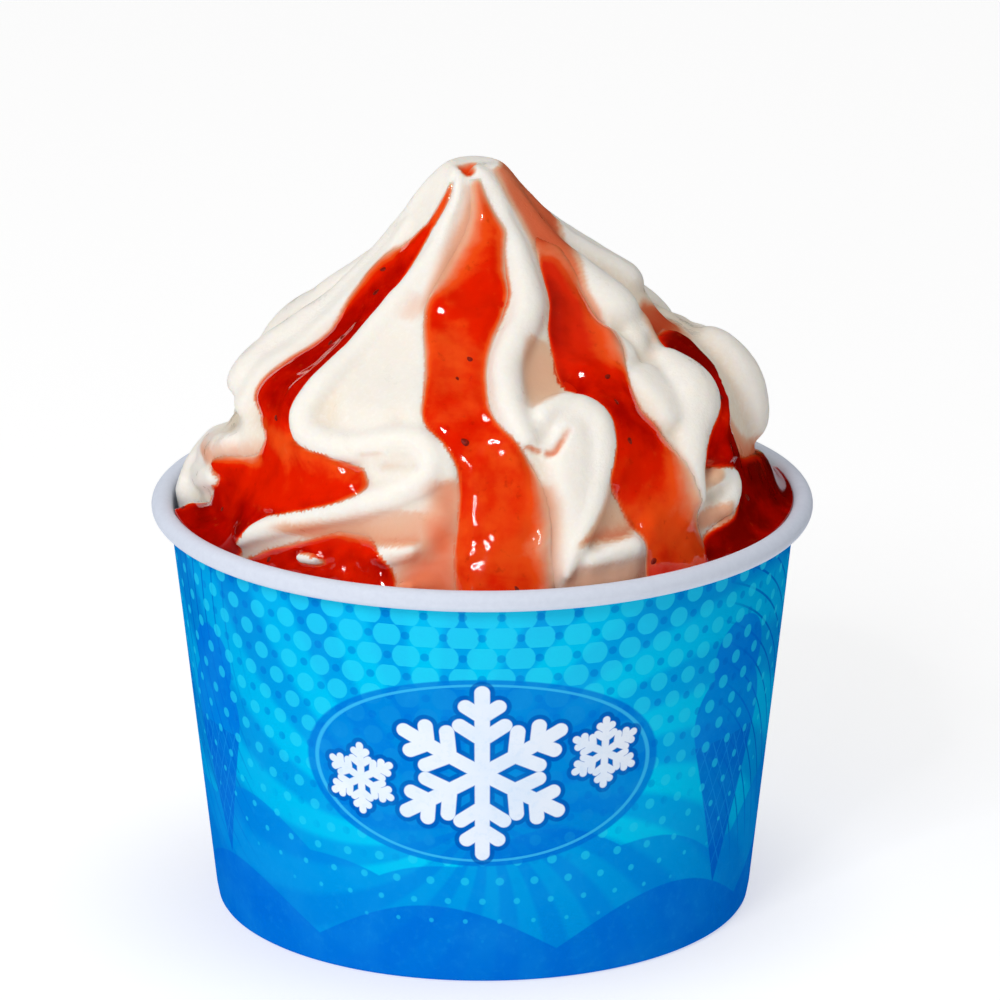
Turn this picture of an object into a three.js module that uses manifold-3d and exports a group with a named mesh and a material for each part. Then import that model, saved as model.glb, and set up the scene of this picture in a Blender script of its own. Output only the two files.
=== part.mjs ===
// Soft-serve sundae in a round paper cup: rolled rim, recessed base, folded ice cream
// piled above the rim and strawberry sauce run down between the folds.
// Millimetres, +Z up, the front towards -Y, the cup standing on z = 0.
import * as THREE from 'three';
import { mergeVertices } from 'three/addons/utils/BufferGeometryUtils.js';
import Module from 'manifold-3d';

// Cup
const RIM_DIAMETER = 96;
const BASE_DIAMETER = 78;
const CUP_HEIGHT = 61.4;
const BEAD_RADIUS = 1.5;
const PAPER = 0.5;
const CURL_END = -100;
const HEM_HEIGHT = 5;
const HEM_SLOT = 1;
const BASE_TOP = 6;
const AROUND = 44;
const FIT = 0.3;

// Ice cream: the crest line of the pile as radius, height and shift to the right
const PILE = [
  [0, 111.4, -1.2], [4.2, 110.8, -1.2], [8.9, 105.2, -1.4], [12.9, 100.6, -0.7], [20.4, 94.8, 1],
  [28.5, 88.4, 1.4], [35.4, 83.6, 0.9], [38.8, 78, 0.8], [40.6, 72, 0.8], [42.6, 64, 0.1], [44.2, 58, 0],
];
const VALLEY = 3;
const VALLEY_FULL_RADIUS = 24;
const VALLEY_LEAST = 0.2;
const SKIRT = 2.3;
const PILE_COLUMNS = 44;
const PILE_ROWS = 20;
const STRAND_SIDES = 8;
const END_ROUNDING = [0.5, 0.88];
const ROPE_THICK = 4;
const ROPE_STEP = 3.3;
const BACK_ROPE_STEP = 5.5;

// Ropes of ice cream, each a run of [bearing, height, half width]; bearing 0 is the front,
// positive to the right
const ROPES = {
  leftLobe: [[-100, 110.9, 1.2], [-96, 107.5, 1.9], [-92, 103, 2.6], [-88, 98, 3.3], [-84, 92, 4],
    [-82, 86, 4.5], [-80, 81, 4.6], [-79, 76.4, 4]],
  leftRoll: [[-114, 65.4, 3], [-96, 66.6, 3.2], [-82, 69, 3.4], [-72, 72.8, 3.1], [-68, 74.6, 2.6]],
  leftStub: [[-104, 61.8, 2.4], [-92, 64.2, 2.5], [-82, 65.8, 2.3], [-75, 67, 1.7], [-71, 67.4, 1.1]],
  ribbonUpper: [[-50, 111.1, 0.9], [-30, 110, 1], [-17, 108, 1.1], [-23, 105, 1.4], [-33, 100, 1.8],
    [-43.6, 95, 2.2], [-46.5, 90, 2.4], [-47.5, 85, 2.5], [-47.6, 81.7, 2.5], [-46, 79.6, 2.4]],
  ribbonMiddle: [[-47.4, 80.4, 2.4], [-45, 79.4, 2.4], [-40, 78.4, 2.3], [-33, 78.4, 2.2],
    [-26, 79.3, 2.2], [-20, 80.4, 2.3], [-15.5, 80.3, 2.4], [-12.6, 78.5, 2.4]],
  ribbonLower: [[-12.8, 79, 2.4], [-12.8, 76.1, 2.3], [-15.8, 74.1, 2.1], [-20, 72.6, 2], [-30, 69.9, 1.9],
    [-40, 67.3, 1.9], [-48, 64.9, 1.7], [-53, 62.8, 1.2], [-56, 61.2, 0.9]],
  frontLump: [[-22, 63.8, 1], [-17, 65, 1.7], [-12.6, 66, 1]],
  centreFold: [[10, 111.2, 0.9], [22, 110, 1], [32, 108, 1.2], [33, 105, 1.6], [29.5, 100.6, 2.2],
    [18, 95.4, 2.6], [8.5, 92, 2.6], [4.6, 89.4, 2.5], [4.8, 86.4, 2.4], [6.6, 83.4, 2.2], [8.6, 81, 1.8],
    [10, 79.6, 1.2]],
  hook: [[11.4, 82.6, 1.5], [13.8, 84.4, 2], [18, 85, 2.4], [22.6, 84.6, 2.6], [26, 82.4, 2.7],
    [26, 79.4, 2.7], [24.4, 75.8, 2.5], [21.8, 71, 2.2], [19.2, 66.8, 1.7], [17, 63.4, 1.2],
    [15.6, 61.2, 0.8]],
  rightLobeUpper: [[72, 110.9, 1.2], [70, 106, 2], [66, 101, 3.2], [62, 97, 4.4], [60, 93, 4.8],
    [59, 90.8, 4]],
  rightLobeLower: [[56, 89, 2.6], [58.5, 87, 4.2], [57.5, 83, 5.3], [53, 79, 4.4], [49.6, 75, 2.8],
    [48.2, 71, 1.9], [48.6, 67.6, 1.2]],
  rightCurl: [[53, 70.6, 1.1], [57, 71.2, 1.6], [60.6, 69.6, 1.8], [60, 67.2, 1.8], [55, 65.8, 1.4]],
  rightShelf: [[19.5, 64.2, 1.2], [25, 64.8, 1.8], [30.4, 65.2, 2], [33.2, 64.6, 1.4]],
  farRightUpper: [[108, 110.9, 1.2], [104, 106, 2.2], [101, 100, 3.2], [100, 95.5, 4], [99, 92, 3.6]],
  farRightLower: [[104, 84.4, 2.4], [99.5, 84.4, 3.4], [95, 83.2, 4.6], [91, 79.2, 5.2], [89, 75, 4.8],
    [88, 69.6, 3.8]],
  backRightUpper: [[122, 110.9, 1.2], [119, 104, 2.2], [118, 97, 3.2], [116, 92.5, 3.6], [115, 90.4, 3]],
  backRightLower: [[122, 83, 2.6], [119, 81.2, 3.8], [116, 77.5, 4.8], [118, 71, 4], [114, 64, 2.8]],
};

// Folds down the far side, one every BACK_STEP degrees, swaying as they come down,
// and sauce in some of the valleys between them
const BACK_FIRST = 140;
const BACK_LAST = 240;
const BACK_STEP = 25;
const BACK_RUN = [
  [0, 110.9, 1.2], [2, 105, 2.2], [-3, 97, 3.5], [3, 89, 4.4], [-3, 80, 4.6], [3, 71, 3.8],
  [0, 63, 2.4],
];
const BACK_SAUCE_RUN = [
  [0, 103, 1.6], [-2, 96, 2.4], [3, 88, 3], [-3, 79, 3.4], [2, 70, 4], [0, 58, 5],
];
const BACK_SAUCE_GAPS = [0, 3];

// Broad faces between the ropes: a run of [bearing, height, half width], depth below the crests;
// each is flat over FACE_FLAT of its width
const FACE_FLAT = 0.55;
const FACES = [
  { run: [[-80, 102, 3], [-77, 94, 4.2], [-75, 87, 5], [-73.5, 80, 4.6]], depth: 0.8 },
  { run: [[-30, 104, 2.4], [-33, 98, 4.6], [-34, 92, 6.4], [-32, 87, 8], [-30, 83, 7]], depth: 1.3 },
  { run: [[19, 82, 3.6], [18.6, 78, 5.2], [18.7, 74, 4.4], [18.6, 70, 2.8], [17, 66, 2], [16, 62.5, 1.4]],
    depth: 0.5 },
  { run: [[-27, 95, 3], [-22.5, 90, 3.6], [-19.5, 86, 4], [-17, 83.6, 3]], depth: 1.2 },
  { run: [[-25, 75.4, 2.2], [-21, 76, 2.8], [-17, 76.4, 2.4]], depth: 1.5 },
  { run: [[-9, 79.4, 2], [-8.6, 76.4, 2.4]], depth: 0.9 },
  { run: [[-12, 70, 4], [-18, 66, 5], [-22, 61, 5]], depth: 2.2 },
  { run: [[22, 62, 4], [29, 62, 4]], depth: 1.2 },
  { run: [[64, 92, 4], [58, 89.6, 4]], depth: 1.2 },
  { run: [[44.6, 91, 3], [46, 86, 4.4], [46.4, 82, 3.6]], depth: 1 },
];

// Sauce: runs of [bearing, height, half width] lying in the valleys, by where they come down
const SAUCE_SUNK = 1;
const SAUCE_THICK = 2.4;
const SAUCE_STEP = 4.2;
const SCRAP = 30;
const SAUCE = {
  left: [
    [[-35, 109.4, 0.8], [-40, 105, 1.4], [-53, 101, 2.4], [-58, 97, 3.2], [-59.5, 92, 3.7], [-59.5, 87, 4.4],
      [-59, 82, 5], [-55, 77.6, 4.8], [-48, 74, 4.2]],
    [[-30, 74, 2.6], [-42, 73, 4], [-54, 70.4, 5], [-64, 66.6, 5.4], [-74, 62.6, 5.4], [-86, 59, 4]],
  ],
  front: [
    [[6.5, 109.8, 1.2], [9, 106, 2.2], [6, 103, 3.8], [-4, 100, 5.2], [-9, 96.4, 6], [-12, 92, 5.3],
      [-10.4, 88, 4.8], [-6.5, 83.4, 5.4], [-1, 80, 5.5], [1.4, 76, 5.6], [2.2, 70, 5.8], [2.8, 64, 5.9],
      [3.2, 58, 6]],
  ],
  front_left: [
    [[-50, 60, 3], [-42, 61.4, 3.8], [-31, 62.4, 4.2], [-21, 61, 3.4]],
  ],
  right: [
    [[64, 102.6, 2.4], [47.2, 99, 2.8], [38.9, 96, 3.3], [34, 93, 4.6], [31.4, 89, 5.2], [32, 86, 4.2],
      [34.4, 83, 3.6], [35.6, 79, 4.8], [35.6, 74, 6.2], [37.3, 71, 6.2], [40.5, 66.4, 6], [43.5, 58, 6.4]],
    [[78, 92.4, 2.4], [73, 90, 3.4], [72.4, 88, 3.6], [71.6, 85.6, 3], [67.6, 82, 3], [63.6, 79, 3.7],
      [61, 76, 4.8], [62, 73, 5], [67, 70, 4.6], [72, 66, 5.6], [74, 58, 6]],
    [[40, 58.5, 5], [56, 59.5, 5], [72, 60.5, 6], [88, 61.5, 6], [102, 59, 5]],
  ],
};

// Pools that stand against the cup, risen above the crest form
const POOL_RISE = 1.2;
const POOL_THICK = 3;
const POOLS = {
  left: [[-50, 61, 3], [-64, 61.5, 4.4], [-78, 61, 4.4], [-90, 59.5, 3]],
  right: [[50, 60, 3], [66, 61.5, 4.4], [84, 62, 4.6], [98, 61, 3.4]],
};

const COLOURS = {
  paper: '#1f8fd0',
  board: '#eef1f5',
  cream: '#f4ebdf',
  sauce: '#c31705',
};

const wasm = await Module();
wasm.setup();

const radians = THREE.MathUtils.degToRad;
const clamp = THREE.MathUtils.clamp;

function solidOf(geometry, tolerance = 1e-4) {
  geometry.deleteAttribute('normal');
  geometry.deleteAttribute('uv');
  const merged = mergeVertices(geometry, tolerance);
  return new wasm.Manifold(new wasm.Mesh({
    numProp: 3,
    vertProperties: new Float32Array(merged.attributes.position.array),
    triVerts: new Uint32Array(merged.index.array),
  }));
}

function geometryOf(solid) {
  const mesh = solid.getMesh();
  const geometry = new THREE.BufferGeometry();
  geometry.setAttribute('position', new THREE.BufferAttribute(mesh.vertProperties, 3));
  geometry.setIndex(new THREE.BufferAttribute(mesh.triVerts, 1));
  geometry.computeVertexNormals();
  return geometry;
}

// Turned solid, its profile given as radius and height
function turned(profile) {
  const points = profile.map(([radius, height]) => new THREE.Vector2(radius, height));
  const geometry = new THREE.LatheGeometry(points, AROUND);
  geometry.rotateX(Math.PI / 2);
  geometry.deleteAttribute('normal');
  geometry.deleteAttribute('uv');
  return mergeVertices(geometry, 1e-4);
}

// Paper cup
const beadRadius = RIM_DIAMETER / 2 - BEAD_RADIUS;
const beadHeight = CUP_HEIGHT - BEAD_RADIUS;
const wallTop = beadRadius - BEAD_RADIUS;
const wallFoot = BASE_DIAMETER / 2 - PAPER;
const wallInside = (height) => wallFoot + ((wallTop - wallFoot) * height) / beadHeight;

function curl(radius, from, to, steps) {
  const arc = new THREE.EllipseCurve(beadRadius, beadHeight, radius, radius, radians(from), radians(to),
    from > to);
  return arc.getPoints(steps).map((point) => [point.x, point.y]);
}

const hemOutside = wallFoot - HEM_SLOT;
const hemInside = hemOutside - PAPER;
const wallProfile = [
  [hemInside + PAPER / 2, 0],
  [wallFoot + PAPER / 2, 0],
  [wallFoot + PAPER, PAPER / 2],
  ...curl(BEAD_RADIUS - PAPER, 180, CURL_END, 6),
  ...curl(BEAD_RADIUS, CURL_END, 180, 8),
  [wallInside(PAPER), PAPER],
  [hemOutside, PAPER],
  [hemOutside, HEM_HEIGHT],
  [hemInside, HEM_HEIGHT],
  [hemInside, PAPER / 2],
  [hemInside + PAPER / 2, 0],
];
const baseFoot = PAPER + FIT;
const skirtTop = wallInside(BASE_TOP) - FIT;
const skirtFoot = wallInside(baseFoot) - FIT;
const baseProfile = [
  [0, BASE_TOP - PAPER],
  [skirtFoot - PAPER + 0.1, BASE_TOP - PAPER],
  [skirtFoot - PAPER + 0.1, baseFoot],
  [skirtFoot, baseFoot],
  [skirtTop, BASE_TOP - PAPER],
  [skirtTop - PAPER / 2, BASE_TOP],
  [0, BASE_TOP],
];

// Outside form of the pile
const pileCurve = new THREE.CatmullRomCurve3(
  PILE.map(([radius, height, shift]) => new THREE.Vector3(radius, shift, height)),
);

function onPile(bearing, along) {
  const { x: radius, y: shift, z: height } = pileCurve.getPointAt(along);
  const tangent = pileCurve.getTangentAt(along);
  const east = Math.sin(radians(bearing));
  const south = -Math.cos(radians(bearing));
  return {
    place: new THREE.Vector3(radius * east + shift, radius * south, height),
    outward: new THREE.Vector3(-tangent.z * east, -tangent.z * south, tangent.x).normalize(),
    radius,
  };
}

// How far along the crest line a height lies
function alongAt(height) {
  let low = 0;
  let high = 1;
  for (let pass = 0; pass < 30; pass += 1) {
    const middle = (low + high) / 2;
    if (pileCurve.getPointAt(middle).z > height) low = middle;
    else high = middle;
  }
  return low;
}

const pilePoint = ([bearing, height]) => onPile(bearing, alongAt(height));

// Share of their full depth that the valleys have at a radius, less towards the tip
const shareOfDepth = (radius) => clamp(radius / VALLEY_FULL_RADIUS, VALLEY_LEAST, 1);

// Third number of a run part of the way along it
function thirdAt(run, at) {
  const stop = at * (run.length - 1);
  const before = Math.min(Math.floor(stop), run.length - 2);
  return THREE.MathUtils.lerp(run[before][2] ?? 0, run[before + 1][2] ?? 0, stop - before);
}

// Strand lying along the pile: each stop of its run gives bearing, height and half width.
// Its top is sunk below the crest form, and its ends are rounded.
function strand(run, { sunk, thick, step, grow }) {
  const stops = run.map(pilePoint);
  const halfThick = (width) => Math.min(width, thick);
  const curve = new THREE.CatmullRomCurve3(stops.map(({ place, outward, radius }, index) => (
    place.clone().addScaledVector(outward, -sunk * shareOfDepth(radius) - halfThick(run[index][2]))
  )));
  const outwardCurve = new THREE.CatmullRomCurve3(stops.map(({ outward }) => outward));
  const steps = Math.max(4, Math.round(curve.getLength() / step));
  const geometry = new THREE.CylinderGeometry(1, 1, 1, STRAND_SIDES, steps);
  const position = geometry.attributes.position;
  for (let index = 0; index < position.count; index += 1) {
    const ring = Math.round((0.5 - position.getY(index)) * steps);
    const at = curve.getUtoTmapping(ring / steps);
    const width = thirdAt(run, at);
    const rounding = END_ROUNDING[Math.min(ring, steps - ring)] ?? 1;
    const along = curve.getTangent(at);
    const side = along.clone().cross(outwardCurve.getPoint(at)).normalize();
    const up = side.clone().cross(along);
    const place = curve.getPoint(at);
    place.addScaledVector(up, position.getX(index) * (halfThick(width) * rounding + grow));
    place.addScaledVector(side, position.getZ(index) * (width * rounding + grow));
    position.setXYZ(index, place.x, place.y, place.z);
  }
  return solidOf(geometry);
}

// Distance from a place to a run, with the run's third number where it is nearest
function nearest(place, track) {
  let best = { distance: Infinity, third: 0 };
  for (const stop of track) {
    const distance = place.distanceTo(stop.place);
    if (distance < best.distance) best = { distance, third: stop.third };
  }
  return best;
}

function trackOf(run) {
  const curve = new THREE.CatmullRomCurve3(run.map((stop) => pilePoint(stop).place));
  const count = Math.ceil(curve.getLength());
  return Array.from({ length: count + 1 }, (unused, index) => {
    const at = curve.getUtoTmapping(index / count);
    return { place: curve.getPoint(at), third: thirdAt(run, at) };
  });
}

const ropeRuns = Object.values(ROPES);
const backRopeRuns = [];
const sauceRuns = { ...SAUCE };
const turnedTo = (run, bearing) => run.map(([sway, height, width]) => [bearing + sway, height, width]);
for (let fold = 0; BACK_FIRST + fold * BACK_STEP <= BACK_LAST; fold += 1) {
  const bearing = BACK_FIRST + fold * BACK_STEP;
  backRopeRuns.push(turnedTo(BACK_RUN, bearing));
  const gap = BACK_SAUCE_GAPS.indexOf(fold);
  if (gap >= 0) sauceRuns[`back_${gap + 1}`] = [turnedTo(BACK_SAUCE_RUN, bearing + BACK_STEP / 2)];
}
const ropeTracks = [...ropeRuns, ...backRopeRuns].map(trackOf);
const faceTracks = FACES.map(({ run, depth }) => ({ track: trackOf(run), depth }));

// Depth of the ice cream below the crests: shallow beside a rope or on a face, deep between
function valleyDepth(place, radius) {
  let depth = VALLEY;
  const lift = (far, top) => {
    const share = clamp(far, 0, 1);
    depth = Math.min(depth, THREE.MathUtils.lerp(top, VALLEY, share * share * (3 - 2 * share)));
  };
  for (const track of ropeTracks) {
    const { distance, third } = nearest(place, track);
    lift(distance / (third * SKIRT), third * 0.7);
  }
  for (const { track, depth: top } of faceTracks) {
    const { distance, third } = nearest(place, track);
    lift((distance / third - FACE_FLAT) / (1 - FACE_FLAT), top);
  }
  return depth * shareOfDepth(radius);
}

// Solid of ice cream from the base of the cup up, with its ropes laid on
function creamSolid(grow) {
  const geometry = new THREE.SphereGeometry(1, PILE_COLUMNS, PILE_ROWS + 2);
  const position = geometry.attributes.position;
  for (let row = 0; row <= PILE_ROWS + 2; row += 1) {
    for (let column = 0; column <= PILE_COLUMNS; column += 1) {
      const bearing = (360 * (column % PILE_COLUMNS)) / PILE_COLUMNS;
      const { place, outward, radius } = onPile(bearing, Math.min(row / PILE_ROWS, 1));
      if (row === 0) outward.set(0, 0, 1);
      if (row < PILE_ROWS) {
        place.addScaledVector(outward, grow - valleyDepth(place, radius));
      } else {
        const level = row === PILE_ROWS ? place.z + grow : BASE_TOP + FIT - grow;
        const side = row === PILE_ROWS + 2 ? 0 : wallInside(level) - FIT + grow;
        place.set(side * Math.sin(radians(bearing)), -side * Math.cos(radians(bearing)), level);
      }
      position.setXYZ(row * (PILE_COLUMNS + 1) + column, place.x, place.y, place.z);
    }
  }
  let solid = solidOf(geometry);
  const lay = (run, step) => {
    solid = solid.add(strand(run, { sunk: 0, thick: ROPE_THICK, step, grow }));
  };
  ropeRuns.forEach((run) => lay(run, ROPE_STEP));
  backRopeRuns.forEach((run) => lay(run, BACK_ROPE_STEP));
  return solid;
}

// Room inside the cup and above its rim
const roof = PILE[0][1] + 4;
const room = solidOf(turned([
  [0, BASE_TOP + FIT],
  [wallInside(BASE_TOP + FIT) - FIT, BASE_TOP + FIT],
  [wallInside(beadHeight) - FIT, beadHeight],
  [wallTop + 0.2, CUP_HEIGHT + 0.6],
  [RIM_DIAMETER / 2 - 1, CUP_HEIGHT + 4],
  [RIM_DIAMETER / 2 - 1, roof],
  [0, roof],
]));

const bySize = (one, other) => other.volume() - one.volume();
// Outer shell of a joined solid, so that nothing hollow is left under its strands
const shellOf = (solid) => solidOf(geometryOf(solid), 1e-3).decompose().sort(bySize)[0];
const cream = shellOf(creamSolid(0).intersect(room));
const grownCream = creamSolid(FIT);

// Bodies of sauce left once the ice cream is taken out of its strands
function sauceBodies(runs, pool) {
  const strands = runs.map((run) => (
    strand(run, { sunk: SAUCE_SUNK, thick: SAUCE_THICK, step: SAUCE_STEP, grow: 0 })
  ));
  if (pool) strands.push(strand(pool, { sunk: -POOL_RISE, thick: POOL_THICK, step: SAUCE_STEP, grow: 0 }));
  return strands
    .reduce((whole, one) => whole.add(one))
    .intersect(room)
    .subtract(grownCream)
    .decompose()
    .filter((body) => body.volume() > SCRAP)
    .map(shellOf)
    .sort(bySize);
}

function part(name, geometry, color, roughness) {
  const mesh = new THREE.Mesh(geometry, new THREE.MeshStandardMaterial({ color, roughness, metalness: 0 }));
  mesh.name = name;
  return mesh;
}

const sundae = new THREE.Group();
sundae.name = 'sundae';
sundae.add(part('cup_wall', turned(wallProfile), COLOURS.paper, 0.4));
sundae.add(part('cup_base', turned(baseProfile), COLOURS.board, 0.6));
sundae.add(part('ice_cream', geometryOf(cream), COLOURS.cream, 0.55));
for (const [place, runs] of Object.entries(sauceRuns)) {
  sauceBodies(runs, POOLS[place]).forEach((body, index) => {
    const name = index ? `sauce_${place}_${index + 1}` : `sauce_${place}`;
    sundae.add(part(name, geometryOf(body), COLOURS.sauce, 0.15));
  });
}

export default sundae;
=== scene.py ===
import math

import bpy
import numpy as np
from mathutils import Matrix, Vector, noise
from mathutils.bvhtree import BVHTree


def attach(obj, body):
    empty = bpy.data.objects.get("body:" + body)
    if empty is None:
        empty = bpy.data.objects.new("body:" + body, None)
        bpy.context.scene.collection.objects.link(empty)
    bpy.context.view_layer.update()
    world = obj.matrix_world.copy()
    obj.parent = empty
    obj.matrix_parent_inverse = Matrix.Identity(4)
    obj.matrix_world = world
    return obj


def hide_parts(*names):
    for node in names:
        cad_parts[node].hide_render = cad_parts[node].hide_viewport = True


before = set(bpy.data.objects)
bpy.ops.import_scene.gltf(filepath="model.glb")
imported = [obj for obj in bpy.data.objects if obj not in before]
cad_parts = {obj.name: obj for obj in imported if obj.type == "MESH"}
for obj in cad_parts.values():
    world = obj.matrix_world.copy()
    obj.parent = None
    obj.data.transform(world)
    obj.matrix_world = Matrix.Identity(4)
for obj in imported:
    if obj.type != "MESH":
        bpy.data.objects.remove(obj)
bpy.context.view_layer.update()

# Cup wall
# One sheet of coated paper board wrapped into a cone and glued up the back, its upper edge
# rolled outwards into a round rim and its lower edge folded in as a hem. Printed outside only.
MM = 0.001
PAPER = 0.5
RIM_CENTRE = (46.5, 59.9)
RIM_ROLL = 1.25
RIM_ROLL_END = -100
WALL_FOOT = 38.5
WALL_TOP = 45.0
WALL_STRAIGHT = (2.5, 58.9)
FOLD_CENTRE = (38.0, 1.0)
FOLD_RADIUS = 0.75
FOLD_TOP = 2
HEM = (5.0, 3.0)
SPIN_STEPS = 192
OUT_OF_ROUND = ((3, 40, 0.05), (7, 0, 0.04))
OUT_OF_ROUND_FROM, OUT_OF_ROUND_FULL = 45, 59
SEAM_STEP = 0.3
SEAM_LAP = 7.0
SEAM_SLOPE = 1.2
OUTER_FACE = (0.28, 1.1)
PRINTED_FOLD = (-0.6, 0.7)


def wall_inside(height):
    return WALL_FOOT + (WALL_TOP - WALL_FOOT) * height / RIM_CENTRE[1]


def arc(centre, radius, start, end, steps):
    angles = np.radians(np.linspace(start, end, steps + 1))
    return [(centre[0] + radius * math.cos(a), centre[1] + radius * math.sin(a)) for a in angles]


wall_line = [(FOLD_CENTRE[0] - FOLD_RADIUS, height) for height in HEM]
wall_line += arc(FOLD_CENTRE, FOLD_RADIUS, 180, 360, 8)
wall_line += [(wall_inside(h) + PAPER / 2, h) for h in np.linspace(*WALL_STRAIGHT, 21)]
wall_line += arc(RIM_CENTRE, RIM_ROLL, 180, RIM_ROLL_END, 24)

bpy.ops.object.select_all(action="DESELECT")
bpy.ops.mesh.primitive_plane_add(size=MM)
cup_wall = bpy.context.object
cup_wall.name = "printed_wall"
bpy.ops.object.mode_set(mode="EDIT")
bpy.ops.mesh.select_all(action="SELECT")
bpy.ops.mesh.merge(type="CENTER")
bpy.ops.transform.translate(value=(wall_line[0][0] * MM, 0, wall_line[0][1] * MM))
for here, there in zip(wall_line, wall_line[1:]):
    step = ((there[0] - here[0]) * MM, 0, (there[1] - here[1]) * MM)
    bpy.ops.mesh.extrude_vertices_move(TRANSFORM_OT_translate={"value": step})
bpy.ops.mesh.select_all(action="SELECT")
bpy.ops.mesh.spin(steps=SPIN_STEPS, angle=math.tau, center=(0, 0, 0), axis=(0, 0, 1))
bpy.ops.mesh.select_all(action="SELECT")
bpy.ops.mesh.remove_doubles(threshold=1e-6)
bpy.ops.mesh.normals_make_consistent(inside=False)
bpy.ops.object.mode_set(mode="OBJECT")


def places_of(mesh):
    flat = np.empty(len(mesh.vertices) * 3)
    mesh.vertices.foreach_get("co", flat)
    return flat.reshape(-1, 3) / MM


def put_places(mesh, places):
    mesh.vertices.foreach_set("co", (places * MM).ravel())
    mesh.update()


def bearing_of(places):
    """Degrees round the cup's axis from the front, positive to the right."""
    return np.degrees(np.arctan2(places[:, 0], -places[:, 1]))


def apply_modifier(piece, kind, **settings):
    """Gives the active piece a modifier of that kind and applies it."""
    bpy.ops.object.modifier_add(type=kind)
    for name, value in settings.items():
        setattr(piece.modifiers[0], name, value)
    bpy.ops.object.modifier_apply(modifier=piece.modifiers[0].name)


def mark(mesh, domain, **marks):
    """Keeps values for each face or point of a mesh under their names."""
    for name, values in marks.items():
        mesh.attributes.new(name, "FLOAT", domain).data.foreach_set("value", values)


# The rim is a little out of round, and the upper sheet stands proud at the glued seam
wall_places = places_of(cup_wall.data)
wall_bearing = bearing_of(wall_places)
wall_height = wall_places[:, 2]
wobble = np.zeros(len(wall_places))
for waves, turn, reach in OUT_OF_ROUND:
    wobble += reach * np.sin(np.radians(waves * wall_bearing + turn))
near_rim = np.clip((wall_height - OUT_OF_ROUND_FROM) / (OUT_OF_ROUND_FULL - OUT_OF_ROUND_FROM), 0, 1)
past_seam = np.clip((wall_bearing - (180 - SEAM_LAP)) / SEAM_SLOPE, 0, 1) * (wall_height > FOLD_TOP)
out_by = wobble * near_rim + SEAM_STEP * past_seam * (1 - near_rim)
radial = wall_places[:, :2] / np.linalg.norm(wall_places[:, :2], axis=1)[:, None]
wall_places[:, :2] += radial * out_by[:, None]
put_places(cup_wall.data, wall_places)
apply_modifier(cup_wall, "SOLIDIFY", thickness=PAPER * MM, offset=0)
bpy.ops.object.shade_smooth_by_angle(angle=math.radians(50))

# Ink lies on the outer face and on round the fold at the foot
centres = np.array([p.center for p in cup_wall.data.polygons]) / MM
outside = np.linalg.norm(centres[:, :2], axis=1) - wall_inside(centres[:, 2])
printed = (outside > OUTER_FACE[0]) & (outside < OUTER_FACE[1]) & (centres[:, 2] < WALL_STRAIGHT[1])
printed |= (outside > PRINTED_FOLD[0]) & (centres[:, 2] < PRINTED_FOLD[1])
mark(cup_wall.data, "FACE", inked=printed.astype(float))


class Shade:
    """A socket of a material, so that its patterns read as sums."""

    def __init__(self, tree, socket=None):
        self.tree, self.socket = tree, socket

    def node(self, kind, settings=None, sockets=None, output=0):
        made = self.tree.nodes.new("ShaderNode" + kind)
        for name, value in (settings or {}).items():
            setattr(made, name, value)
        for name, value in (sockets or {}).items():
            if isinstance(value, Shade):
                self.tree.links.new(value.socket, made.inputs[name])
            else:
                made.inputs[name].default_value = value
        return Shade(self.tree, made.outputs[output] if made.outputs else None)

    def math(self, operation, *values):
        return self.node("Math", {"operation": operation}, dict(enumerate(values)))

    def __add__(self, other):
        return self.math("ADD", self, other)

    def __radd__(self, other):
        return self.math("ADD", other, self)

    def __sub__(self, other):
        return self.math("SUBTRACT", self, other)

    def __rsub__(self, other):
        return self.math("SUBTRACT", other, self)

    def __mul__(self, other):
        return self.math("MULTIPLY", self, other)

    def __rmul__(self, other):
        return self.math("MULTIPLY", other, self)

    def __truediv__(self, other):
        return self.math("DIVIDE", self, other)

    def __pow__(self, other):
        return self.math("POWER", self, other)

    def __abs__(self):
        return self.math("ABSOLUTE", self)

    def sin(self):
        return self.math("SINE", self)

    def cos(self):
        return self.math("COSINE", self)

    def round(self):
        return self.math("ROUND", self)

    def off_whole(self):
        """How far this is from the nearest whole number."""
        return abs(self - self.round())

    def at_most(self, other):
        return self.math("MINIMUM", self, other)

    def at_least(self, other):
        return self.math("MAXIMUM", self, other)

    def step(self, low, high):
        """0 up to low, 1 from high on, smooth between; falls if high is under low."""
        limits = {"Value": self, "From Min": low, "From Max": high}
        return self.node("MapRange", {"interpolation_type": "SMOOTHSTEP"}, limits)

    def mix(self, none, full):
        """The colour none where this is 0, full where it is 1."""
        return self.node("Mix", {"data_type": "RGBA"}, {0: self, 6: none, 7: full}, 2)

    def attribute(self, name):
        return self.node("Attribute", {"attribute_name": name}, output=2)

    def cloud(self, scale, detail, roughness=0.5, distortion=0):
        """Cloudy noise over these places, its scale in clouds to the metre."""
        values = {"Scale": scale, "Detail": detail, "Roughness": roughness, "Distortion": distortion}
        return self.node("TexNoise", {}, {"Vector": self, **values})

    def bump(self, strength):
        """A bump as high as this in millimetres."""
        return self.node("Bump", {}, {"Height": self * MM, "Strength": strength, "Distance": 1})


def srgb(red, green, blue):
    values = [v / 255 for v in (red, green, blue)]
    return tuple(v / 12.92 if v < 0.04045 else ((v + 0.055) / 1.055) ** 2.4 for v in values) + (1,)


def new_material(name):
    """A material with no nodes but one, and that node's places on the piece."""
    material = bpy.data.materials.new(name)
    material.use_nodes = True
    material.node_tree.nodes.clear()
    return material, Shade(material.node_tree).node("TexCoord", output=3)


def surface(shade, **sockets):
    bsdf = shade.node("BsdfPrincipled", {}, {name.replace("_", " "): v for name, v in sockets.items()})
    shade.node("OutputMaterial", {}, {"Surface": bsdf})


def length(u, v):
    return (u * u + v * v) ** 0.5


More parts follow.
